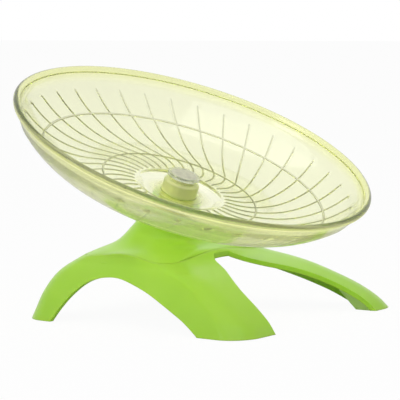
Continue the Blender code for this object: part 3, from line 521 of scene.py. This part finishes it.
def turned_metal(name, dark, light, roughness):
    """Bare metal with fine tool marks and slight tarnish."""
    material, tree, shader, add = start_material(name)
    place = add("ShaderNodeTexCoord").outputs["Object"]
    marks = add("ShaderNodeTexNoise", {"Vector": place, "Scale": 2600.0, "Detail": 2.0})
    tarnish = add("ShaderNodeTexNoise", {"Vector": place, "Scale": 350.0, "Detail": 3.0})
    tree.links.new(ramp(add, tarnish.outputs["Fac"], dark, light), shader.inputs["Base Color"])
    rough = add("ShaderNodeMapRange", {"Value": marks.outputs["Fac"], "To Min": roughness * 0.7,
                                       "To Max": roughness * 1.4})
    tree.links.new(rough.outputs["Result"], shader.inputs["Roughness"])
    bump = add("ShaderNodeBump", {"Height": marks.outputs["Fac"], "Strength": 0.1, "Distance": 0.0001})
    tree.links.new(bump.outputs["Normal"], shader.inputs["Normal"])
    shader.inputs["Metallic"].default_value = 1.0
    return material


plated_steel = turned_metal("plated_steel", (0.50, 0.50, 0.51), (0.68, 0.68, 0.70), 0.28)
turned_brass = turned_metal("turned_brass", (0.62, 0.46, 0.20), (0.80, 0.64, 0.32), 0.30)
for name in ("cover_screw_1", "cover_screw_2", "cover_screw_3", "cover_screw_4", "axle_screw", "axle_washer"):
    cad_finish(name, plated_steel)
for name in ("threaded_insert", "bearing_bush"):
    cad_finish(name, turned_brass)

# Ball bearing
# A small deep-groove bearing of ground steel, pressed into the dish's boss: two rings, polished
# balls held apart by a nylon cage, and a thin pressed shield on each side.
ground_steel = turned_metal("ground_steel", (0.60, 0.61, 0.62), (0.74, 0.75, 0.76), 0.18)
polished_steel = turned_metal("polished_steel", (0.76, 0.76, 0.78), (0.84, 0.84, 0.86), 0.07)
for name in ("bearing_inner_ring", "bearing_outer_ring", "bearing_shield_upper", "bearing_shield_lower"):
    cad_finish(name, ground_steel)
for number in range(1, 8):
    cad_finish(f"bearing_ball_{number}", polished_steel, 80)


def nylon():
    """Natural nylon with a faint cloudiness."""
    material, tree, shader, add = start_material("natural_nylon")
    place = add("ShaderNodeTexCoord").outputs["Object"]
    cloud = add("ShaderNodeTexNoise", {"Vector": place, "Scale": 500.0, "Detail": 2.0})
    tree.links.new(ramp(add, cloud.outputs["Fac"], (0.70, 0.66, 0.52), (0.84, 0.81, 0.68)),
                   shader.inputs["Base Color"])
    shader.inputs["Roughness"].default_value = 0.5
    return material


cad_finish("bearing_cage", nylon())

# Dish
# A shallow running bowl in one clear yellow-green moulding. Fine raised ribs, curved like an S, and
# two ring ribs give the paws grip, the rolled rim stiffens the wall, and the boss holds the bearing.
RIM_BEAD = 3.34
BEAD_CIRCLE = 88.2
BOWL_DEPTH = 23.6
BOWL_FLAT_RADIUS = 45.0
DISH_WALL = 2.0
RIB_COUNT = 36
RIB_WIDTH = 1.0
RIB_HEIGHT = 0.45
RIB_INNER_RADIUS = 22.9
RIB_OUTER_RADIUS = 82.4
RIB_RINGS = (38.787, 70.917)
RECESS_RADIUS = 22.3
RECESS_SLOPE = 5.0
RECESS_STEPS = 8
RECESS_DEPTH = 2.2
BOSS_RADIUS = 8.8
BOSS_BORE = 6.3
BOSS_BELOW_FLOOR = 2.5
BOSS_SHOULDER_HEIGHT = 6.5
BOSS_SHOULDER_ROUND = 1.3
BOSS_NECK_RADIUS = 6.0
BOSS_NECK_HEIGHT = 1.8
SEAT_RADIUS = 4.6
SEAT_BOTTOM = -23.9
SEAT_LIP_BOTTOM = -25.1
SEAT_LIP_BORE = 3.9
ROUNDING = 0.5
RIB_START = -5.6
RIB_SWEEP_shares = (
    # place along the rib from its inner end, sweep in degrees
    (0.00, -28.0), (0.12, -26.5), (0.24, -21.5), (0.41, -12.0), (0.60, -5.0), (0.81, 0.0), (1.00, 3.8))
RIB_PROFILE_shares = ((-1.0, 0.0), (-0.65, 0.66), (0.0, 1.0), (0.65, 0.66), (1.0, 0.0))
BETWEEN_COLUMNS = 4
BEAD_HALF_SWEEP = 145.0
BEAD_STEPS = 30
# Place of the painted dark band of shade on the rim bead: its middle and half sweep, in degrees round the
# bead.
PAINTED_SHADE_BAND_MIDDLE = 50.0
PAINTED_SHADE_BAND_HALF_SWEEP = 50.0
UNDERSIDE_ROWS = 26
UNDERSIDE_FROST = 0.30
EDGE_START = 84.5
EDGE_FADE = 2.5
DISH_TINT = (0.98, 0.985, 0.83)
DISH_DEPTH_TINT = (0.82, 0.86, 0.22)
DISH_DENSITY = 85.0
# Painted shade: this tint darkens the ribs to stand in for the dark that their curved faces refract.
RIB_PAINTED_SHADE_TINT = (0.58, 0.58, 0.48)
EDGE_TINT = (0.96, 0.97, 0.62)
# Painted shade: a dark olive band painted on the outer upper part of the rim bead, where refraction shows
# dark.
PAINTED_SHADE_BAND_TINT = (0.20, 0.21, 0.12)
BOSS_TINT = (0.98, 1.0, 0.58)

BEAD_RADIUS = RIM_BEAD / 2
FLOOR_TOP = -BOWL_DEPTH
RECESS_TOP = FLOOR_TOP - RECESS_DEPTH
RECESS_BOTTOM = RECESS_TOP - DISH_WALL
BOSS_BOTTOM = RECESS_BOTTOM - BOSS_BELOW_FLOOR
BOSS_SHOULDER = RECESS_TOP + BOSS_SHOULDER_HEIGHT
BOSS_TOP = BOSS_SHOULDER + BOSS_NECK_HEIGHT
run = BEAD_CIRCLE - BOWL_FLAT_RADIUS
BOWL_ARC = (run**2 + BOWL_DEPTH**2) / (2 * BOWL_DEPTH)


def rib_sweep(radius):
    """How far round a rib has swept by the time it reaches a radius."""
    share = (radius - RIB_INNER_RADIUS) / (RIB_OUTER_RADIUS - RIB_INNER_RADIUS)
    return math.radians(RIB_START + smooth_between(RIB_SWEEP_shares, min(max(share, 0), 1))[0])


def bowl_lean(radius):
    """Slope of the bowl at a radius."""
    return math.asin(min(max(radius - BOWL_FLAT_RADIUS, 0) / BOWL_ARC, 1))


def bowl_point(radius, below):
    """A point on the bowl's inner surface, or below it along the normal."""
    lean = bowl_lean(radius)
    height = FLOOR_TOP + BOWL_ARC * (1 - math.cos(lean))
    return radius + below * math.sin(lean), height - below * math.cos(lean)


def arc_points(centre, radius, start, end, count):
    """Points on an arc, angles in degrees from the outward direction towards the top."""
    turns = [math.radians(start + (end - start) * i / count) for i in range(count + 1)]
    return [(centre[0] + radius * math.cos(t), centre[1] + radius * math.sin(t)) for t in turns]


def ring_rise(radius):
    """Height of the ring ribs at a radius."""
    rise = 0.0
    for ring in RIB_RINGS:
        away = abs(radius - ring) / (RIB_WIDTH / 2)
        rise = max(rise, math.sqrt(max(1 - away**2, 0)))
    return rise * RIB_HEIGHT


def rib_rise(radius):
    """Height of the curved ribs at a radius: they start and end in a short round slope."""
    inner = min(max((radius - RIB_INNER_RADIUS) / RIB_WIDTH, 0), 1)
    outer = min(max((RIB_OUTER_RADIUS - radius) / (2 * RIB_WIDTH), 0), 1)
    return RIB_HEIGHT * math.sqrt(1 - (1 - min(inner, outer))**2)


def rib_radii():
    """Radii of the rows that cross the ribs, close together where the ribs rise."""
    radii = {RECESS_RADIUS, RIB_INNER_RADIUS, RIB_OUTER_RADIUS}
    for k in range(1, 5):
        radii |= {RIB_INNER_RADIUS + RIB_WIDTH * k / 4, RIB_OUTER_RADIUS - 2 * RIB_WIDTH * k / 4}
    for ring in RIB_RINGS:
        radii |= {ring + RIB_WIDTH / 2 * k / 4 for k in range(-4, 5)}
    spots = sorted(radii)
    for a, b in zip(spots[:-1], spots[1:]):
        parts = max(1, round((b - a) / 1.5))
        radii |= {a + (b - a) * k / parts for k in range(parts)}
    return sorted(radii)


def dish_rows():
    """Rows (radius, height, how evenly the columns are spread, share of the painted dark band of shade on the
    rim) over the rim.
    """
    rows = [(*bowl_point(r, 0), 0.0, 0.0) for r in rib_radii()]
    for k in range(1, 4):
        radius = RIB_OUTER_RADIUS + (BEAD_CIRCLE - BEAD_RADIUS - RIB_OUTER_RADIUS) * k / 4
        rows.append((*bowl_point(radius, 0), k / 4, 0.0))
    lean = math.degrees(bowl_lean(BEAD_CIRCLE))
    start, end = BEAD_HALF_SWEEP + lean, lean - BEAD_HALF_SWEEP
    for i, (x, z) in enumerate(arc_points((BEAD_CIRCLE, 0), BEAD_RADIUS, start, end, BEAD_STEPS)):
        # How much of the painted dark band of shade each row of the bead carries.
        away = (start + (end - start) * i / BEAD_STEPS - PAINTED_SHADE_BAND_MIDDLE) / PAINTED_SHADE_BAND_HALF_SWEEP
        rows.append((x, z, 1.0, min(max(2 - 2 * abs(away), 0), 1)))
    for k in range(UNDERSIDE_ROWS + 1):
        radius = RIB_OUTER_RADIUS + (RECESS_RADIUS + DISH_WALL - RIB_OUTER_RADIUS) * k / UNDERSIDE_ROWS
        rows.append((*bowl_point(radius, DISH_WALL), 1.0, 0.0))
    return rows


def rounded(points, radius, steps=3):
    """An outline with its inner corners rounded off."""
    out = [points[0]]
    for a, b, c in zip(points[:-2], points[1:-1], points[2:]):
        a, b, c = Vector(a), Vector(b), Vector(c)
        cut = min(radius, (a - b).length / 2.1, (c - b).length / 2.1)
        start, end = b + (a - b).normalized() * cut, b + (c - b).normalized() * cut
        for k in range(steps + 1):
            t = k / steps
            out.append(tuple((1 - t)**2 * start + 2 * t * (1 - t) * b + t**2 * end))
    return out + [points[-1]]


def hub_rows():
    """Rows of the plain middle, from the underside round the boss and up to the recess's edge."""
    corner = BOSS_SHOULDER_ROUND
    shoulder = arc_points((BOSS_RADIUS - corner, BOSS_SHOULDER - corner), corner, 90, 0, 8)
    slope = [(k / RECESS_STEPS, (1 - math.cos(math.pi * k / RECESS_STEPS)) / 2)
             for k in range(RECESS_STEPS + 1)]
    under = [(RECESS_RADIUS - RECESS_SLOPE * along, FLOOR_TOP - DISH_WALL - RECESS_DEPTH * down)
             for along, down in slope]
    rows = [(BOSS_RADIUS, RECESS_BOTTOM), (BOSS_RADIUS, BOSS_BOTTOM),
            (BOSS_BORE, BOSS_BOTTOM), (BOSS_BORE, SEAT_LIP_BOTTOM), (SEAT_LIP_BORE, SEAT_LIP_BOTTOM),
            (SEAT_LIP_BORE, SEAT_BOTTOM), (SEAT_RADIUS, SEAT_BOTTOM), (SEAT_RADIUS, BOSS_TOP),
            (BOSS_NECK_RADIUS, BOSS_TOP), (BOSS_NECK_RADIUS, BOSS_SHOULDER)]
    top = under + rounded(rows, ROUNDING / 2) + shoulder[1:] + [(BOSS_RADIUS, RECESS_TOP + ROUNDING)]
    top += arc_points((BOSS_RADIUS + ROUNDING, RECESS_TOP + ROUNDING), ROUNDING, 180, 270, 4)[1:]
    return top + [(radius, height + DISH_WALL) for radius, height in reversed(under)]


pitch = 2 * math.pi / RIB_COUNT
columns = RIB_COUNT * (len(RIB_PROFILE_shares) + BETWEEN_COLUMNS)
spacing = 2 * math.pi / columns


def column_turns(sweep, radius, even):
    """Angle and rib height share of each column: bunched over the ribs, or spread evenly."""
    half = RIB_WIDTH / 2 / radius
    first = (len(RIB_PROFILE_shares) - 1) / 2
    turns = []
    for rib in range(RIB_COUNT):
        bunched = [(place * half, up) for place, up in RIB_PROFILE_shares]
        free = pitch - 2 * half
        bunched += [(half + free * k / (BETWEEN_COLUMNS + 1), 0.0) for k in range(1, BETWEEN_COLUMNS + 1)]
        for k, (turn, up) in enumerate(bunched):
            spread = (k - first) * spacing
            turns.append((rib * pitch + sweep + turn + (spread - turn) * even, up))
    return turns


def dish_mesh():
    """One closed skin: ribbed inside, rolled rim, plain underside and the boss in the middle."""
    bm = bmesh.new()
    # The rib mark and the band mark carry painted shade, which the dish's material darkens them with.
    rib_painted_shade_mark = bm.verts.layers.float.new("rib")
    painted_shade_band_mark = bm.verts.layers.float.new("painted_shade_band")
    frost_mark = bm.verts.layers.float.new("frost")
    edge_mark = bm.verts.layers.float.new("edge")
    boss_mark = bm.verts.layers.float.new("boss")
    rings = []
    for radius, height, even, painted_shade_band in dish_rows():
        ribbed = even == 0
        below = height < bowl_point(radius, 0)[1] - DISH_WALL / 2
        lean = bowl_lean(radius)
        sweep = rib_sweep(min(radius, RIB_OUTER_RADIUS) if even < 1 else RIB_OUTER_RADIUS)
        ring = []
        for turn, up in column_turns(sweep, radius, even):
            rise = max(ring_rise(radius), up * rib_rise(radius)) if ribbed else 0.0
            r = radius - rise * math.sin(lean)
            z = height + rise * math.cos(lean)
            vert = bm.verts.new(Vector((r * math.cos(turn), r * math.sin(turn), z)) * MM)
            vert[rib_painted_shade_mark] = min(2 * rise / RIB_HEIGHT, 1)
            vert[painted_shade_band_mark] = painted_shade_band
            vert[frost_mark] = UNDERSIDE_FROST if below else 0.0
            vert[edge_mark] = min(max((radius - EDGE_START) / EDGE_FADE, 0), 1)
            ring.append(vert)
        rings.append(ring)
    bridge_rings(bm, rings)
    inner_sweep = rib_sweep(RIB_INNER_RADIUS)
    turns = [turn for turn, up in column_turns(inner_sweep, RECESS_RADIUS, 1.0)]
    hub = [[bm.verts.new(Vector((r * math.cos(t), r * math.sin(t), z)) * MM) for t in turns]
           for r, z in hub_rows()]
    for ring, (r, z) in zip(hub, hub_rows()):
        for vert in ring:
            vert[frost_mark] = vert[boss_mark] = 1.0 if r <= BOSS_RADIUS else 0.0
    bridge_rings(bm, hub)
    behind = round((inner_sweep - rib_sweep(RIB_OUTER_RADIUS)) / spacing)
    turned_ring = [rings[-1][(i + behind) % columns] for i in range(columns)]
    bridge_rings(bm, [turned_ring, hub[0]])
    bridge_rings(bm, [hub[-1], rings[0]])
    bmesh.ops.recalc_face_normals(bm, faces=bm.faces)
    bmesh.ops.transform(bm, matrix=AXLE_PLACE, verts=bm.verts)
    return bm


def tinted_clear(name, tint, deep, density, marks=()):
    """Clear moulded plastic that lamps shine through, with a faint skin and a tint for each mark, some of
    them painted shade.
    """
    material, tree, shader, add = start_material(name)
    place = add("ShaderNodeTexCoord").outputs["Object"]
    drift = add("ShaderNodeTexNoise", {"Vector": place, "Scale": 30.0, "Detail": 2.0})
    skin = add("ShaderNodeTexNoise", {"Vector": place, "Scale": 700.0, "Detail": 2.0})
    colour = ramp(add, drift.outputs["Fac"], [c * 0.97 for c in tint], tint)
    for mark, marked_tint in marks:
        share = add("ShaderNodeAttribute", attribute_name=mark).outputs["Fac"]
        mix = add("ShaderNodeMix", data_type="RGBA")
        tree.links.new(share, mix.inputs["Factor"])
        tree.links.new(colour, mix.inputs["A"])
        mix.inputs["B"].default_value = (*marked_tint, 1)
        colour = mix.outputs["Result"]
    tree.links.new(colour, shader.inputs["Base Color"])
    rough = add("ShaderNodeMapRange", {"Value": skin.outputs["Fac"], "To Min": 0.05, "To Max": 0.10})
    frost = add("ShaderNodeAttribute", attribute_name="frost").outputs["Fac"]
    frosted = add("ShaderNodeMath", {0: frost, 1: 0.30, 2: rough.outputs["Result"]}, operation="MULTIPLY_ADD")
    tree.links.new(frosted.outputs["Value"], shader.inputs["Roughness"])
    clear = add("ShaderNodeMath", {0: frost, 1: -0.45, 2: 1.0}, operation="MULTIPLY_ADD")
    tree.links.new(clear.outputs["Value"], shader.inputs["Transmission Weight"])
    shader.inputs["IOR"].default_value = 1.49
    through = add("ShaderNodeBsdfTransparent", {"Color": colour})
    path = add("ShaderNodeLightPath")
    both = add("ShaderNodeMixShader", {"Fac": path.outputs["Is Shadow Ray"]})
    tree.links.new(shader.outputs["BSDF"], both.inputs[1])
    tree.links.new(through.outputs["BSDF"], both.inputs[2])
    output = tree.nodes["Material Output"]
    tree.links.new(both.outputs["Shader"], output.inputs["Surface"])
    depth = add("ShaderNodeVolumeAbsorption", {"Color": (*deep, 1), "Density": density})
    tree.links.new(depth.outputs["Volume"], output.inputs["Volume"])
    return material


dish = new_piece("clear_dish", dish_mesh())
shade(dish, 50)
# The rib and band tints on the dish are painted shade.
dish.data.materials.append(tinted_clear(
    "clear_yellow_green_plastic", DISH_TINT, DISH_DEPTH_TINT, DISH_DENSITY,
    (("rib", RIB_PAINTED_SHADE_TINT), ("edge", EDGE_TINT), ("painted_shade_band", PAINTED_SHADE_BAND_TINT), ("boss", BOSS_TINT))))
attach(dish, "dish")
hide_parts("dish")

# Hub cap
# A clear plastic cap, pushed into the boss over the bearing, that hides the axle screw. It is
# turned here with its rounded edge and the shallow seat of the disc.
CAP_RADIUS = 8.15
CAP_EDGE_ROUND = 0.35
CAP_TOP = -15.8
CAP_BOTTOM = -17.2
CAP_STEM_RADIUS = 4.5
CAP_STEM_WALL = 0.7
CAP_STEM_BOTTOM = -19.7
CAP_DISC_RADIUS = 6.5
CAP_DISC_THICKNESS = 0.5

cap_seat = CAP_DISC_RADIUS + FIT
seat_floor = CAP_TOP - CAP_DISC_THICKNESS - FIT
stem_inside = CAP_STEM_RADIUS - CAP_STEM_WALL
hub_cap = turned("clear_hub_cap", [
    (0, seat_floor), (cap_seat, seat_floor), (cap_seat, CAP_TOP),
    *arc_points((CAP_RADIUS - CAP_EDGE_ROUND, CAP_TOP - CAP_EDGE_ROUND), CAP_EDGE_ROUND, 90, 0, 6),
    (CAP_RADIUS, CAP_BOTTOM), (CAP_STEM_RADIUS, CAP_BOTTOM), (CAP_STEM_RADIUS, CAP_STEM_BOTTOM),
    (stem_inside, CAP_STEM_BOTTOM), (stem_inside, CAP_BOTTOM), (0, CAP_BOTTOM)])
shade(hub_cap, 40)
hub_cap.data.materials.append(tinted_clear(
    "clear_cap_plastic", (0.95, 0.96, 0.92), (0.75, 0.78, 0.60), 90.0))
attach(hub_cap, "dish")
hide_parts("hub_cap")

# Cap disc
# A thin disc of mottled grey plastic, let into the top of the cap and glued. Its edge is rounded
# off a little, and it lies flush with the cap.
DISC_ROUND = 0.12


def mottled_plastic():
    """Grey plastic with pale and dark flecks and a satin skin."""
    material, tree, shader, add = start_material("mottled_grey_plastic")
    place = add("ShaderNodeTexCoord").outputs["Object"]
    flecks = add("ShaderNodeTexNoise", {"Vector": place, "Scale": 420.0, "Detail": 4.0, "Roughness": 0.7})
    tree.links.new(ramp(add, flecks.outputs["Fac"], (0.24, 0.24, 0.15), (0.92, 0.92, 0.67)),
                   shader.inputs["Base Color"])
    bump = add("ShaderNodeBump", {"Height": flecks.outputs["Fac"], "Strength": 0.1, "Distance": 0.0002})
    tree.links.new(bump.outputs["Normal"], shader.inputs["Normal"])
    shader.inputs["Roughness"].default_value = 0.35
    return material


disc_edge = CAP_DISC_RADIUS - DISC_ROUND
cap_disc = turned("mottled_cap_disc", [
    (0, CAP_TOP), *arc_points((disc_edge, CAP_TOP - DISC_ROUND), DISC_ROUND, 90, 0, 4),
    (CAP_DISC_RADIUS, CAP_TOP - CAP_DISC_THICKNESS), (0, CAP_TOP - CAP_DISC_THICKNESS)])
shade(cap_disc, 40)
cap_disc.data.materials.append(mottled_plastic())
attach(cap_disc, "dish")
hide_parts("cap_disc")

# Floor, light and camera
# The wheel stands on a white sheet under a broad soft light, seen from a little above its left
# front leg through a long lens.
FLOOR_REACH = 2.5
CAMERA_PLACE = (0.7577, -0.9256, 0.1812)
CAMERA_AXES = ((0.7767, -0.0421, 0.6285), (0.6291, 0.1008, -0.7707), (-0.0309, 0.9940, 0.1048))
CAMERA_LENS = 223.73
CLEAR_BOUNCES = 32


def paper():
    """White paper that shows as white and still takes a soft shadow."""
    material, tree, shader, add = start_material("white_paper")
    place = add("ShaderNodeTexCoord").outputs["Object"]
    grain = add("ShaderNodeTexNoise", {"Vector": place, "Scale": 60.0, "Detail": 2.0})
    tree.links.new(ramp(add, grain.outputs["Fac"], (0.80, 0.80, 0.80), (0.82, 0.82, 0.82)),
                   shader.inputs["Base Color"])
    shader.inputs["Roughness"].default_value = 0.9
    shader.inputs["Specular IOR Level"].default_value = 0.0
    path = add("ShaderNodeLightPath")
    either = add("ShaderNodeMath", {0: path.outputs["Is Camera Ray"], 1: path.outputs["Is Transmission Ray"]},
                 operation="MAXIMUM")
    share = add("ShaderNodeMath", {0: either.outputs["Value"], 1: 0.95}, operation="MULTIPLY")
    white = add("ShaderNodeEmission", {"Color": (1, 1, 1, 1), "Strength": 1.0})
    both = add("ShaderNodeMixShader", {"Fac": share.outputs["Value"]})
    tree.links.new(shader.outputs["BSDF"], both.inputs[1])
    tree.links.new(white.outputs["Emission"], both.inputs[2])
    tree.links.new(both.outputs["Shader"], tree.nodes["Material Output"].inputs["Surface"])
    return material


bm = bmesh.new()
bmesh.ops.create_grid(bm, x_segments=8, y_segments=8, size=FLOOR_REACH)
floor = new_piece("floor", bm)
floor.data.materials.append(paper())

world = bpy.data.worlds.new("soft_room")
bpy.context.scene.world = world
world.use_nodes = True
tree = world.node_tree
room = tree.nodes["Background"]
room.inputs["Color"].default_value = (1, 1, 1, 1)
room.inputs["Strength"].default_value = 0.55
bright = tree.nodes.new("ShaderNodeBackground")
bright.inputs["Color"].default_value = (1, 1, 1, 1)
bright.inputs["Strength"].default_value = 1.0
path = tree.nodes.new("ShaderNodeLightPath")
mix = tree.nodes.new("ShaderNodeMixShader")
either = path.outputs["Is Camera Ray"]
for name in ("Is Glossy Ray", "Is Transmission Ray"):
    most = tree.nodes.new("ShaderNodeMath")
    most.operation = "MAXIMUM"
    tree.links.new(either, most.inputs[0])
    tree.links.new(path.outputs[name], most.inputs[1])
    either = most.outputs["Value"]
tree.links.new(either, mix.inputs["Fac"])
tree.links.new(room.outputs["Background"], mix.inputs[1])
tree.links.new(bright.outputs["Background"], mix.inputs[2])
tree.links.new(mix.outputs["Shader"], tree.nodes["World Output"].inputs["Surface"])


def softbox(name, place, target, width, height, power):
    """A rectangular lamp that faces a point of the object."""
    lamp = bpy.data.lights.new(name, "AREA")
    lamp.shape = "RECTANGLE"
    lamp.size = width
    lamp.size_y = height
    lamp.energy = power
    obj = bpy.data.objects.new(name, lamp)
    bpy.context.scene.collection.objects.link(obj)
    away = Vector(place) - Vector(target)
    obj.matrix_world = Matrix.Translation(place) @ away.to_track_quat("Z", "Y").to_matrix().to_4x4()


softbox("top_softbox", (0.1, -0.15, 0.9), (0, 0, 0.05), 0.8, 0.8, 2.6)
softbox("left_softbox", (-0.25, -0.85, 0.6), (0, 0, 0.05), 0.4, 0.5, 1.6)

camera = bpy.data.objects.new("camera", bpy.data.cameras.new("camera"))
camera.data.lens = CAMERA_LENS
camera.data.clip_end = 10.0
camera.matrix_world = Matrix.Translation(CAMERA_PLACE) @ Matrix(CAMERA_AXES).to_4x4()
bpy.context.scene.collection.objects.link(camera)
bpy.context.scene.camera = camera
bpy.context.scene.view_settings.view_transform = "Standard"
light_paths = bpy.context.scene.cycles
light_paths.max_bounces = light_paths.glossy_bounces = light_paths.transmission_bounces = CLEAR_BOUNCES
